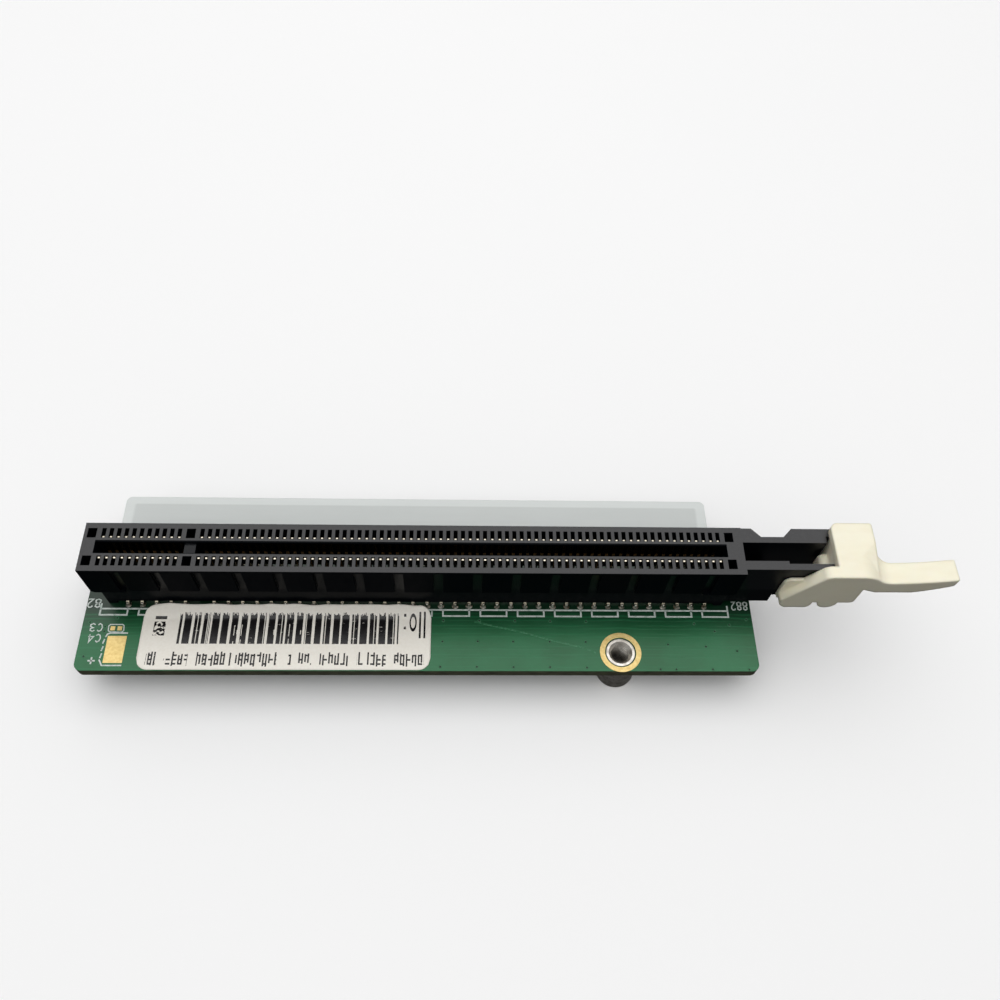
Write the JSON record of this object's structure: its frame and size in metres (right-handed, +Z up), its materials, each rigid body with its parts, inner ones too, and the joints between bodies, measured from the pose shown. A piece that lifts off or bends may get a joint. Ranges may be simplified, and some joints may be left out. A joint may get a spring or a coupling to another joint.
{
  "type": "pcie riser card",
  "caption": "Short riser card with a 164-contact card slot, a pivoting card latch, a threaded standoff, a paper label and a frosted guard over its edge tongue.",
  "frame": {"origin": "centre of the slot's key, on the board's top face", "axes": "+X along the slot towards the latch, +Y towards the edge tongue, +Z up out of the slot"},
  "size_m": [0.12, 0.0273, 0.0192],
  "materials": {
    "green_board": "semi gloss solder mask over glass fibre",
    "black_moulding": "satin",
    "ivory_moulding": "satin",
    "contact_metal": "plated",
    "gilding": "plated",
    "standoff_steel": "tin plated",
    "label_paper": "coated",
    "frosted_guard": "frosted"
  },
  "bodies": {
    "card": {"circuit_board": "green_board", "slot_housing": "black_moulding", "front_outer_contacts": "contact_metal", "front_inner_contacts": "contact_metal", "rear_inner_contacts": "contact_metal", "rear_outer_contacts": "contact_metal", "threaded_standoff": "standoff_steel", "standoff_ring": "gilding", "capacitor_pads": "gilding", "label": "label_paper", "edge_guard": "frosted_guard"},
    "latch": {"retention_latch": "ivory_moulding"}
  },
  "joints": [
    {"name": "latch_pivot", "type": "hinge", "parent": "card", "child": "latch", "pos_m": [0.0878, 0, 0.0046], "axis": [0, 1, 0], "range_deg": [0, 25]}
  ]
}
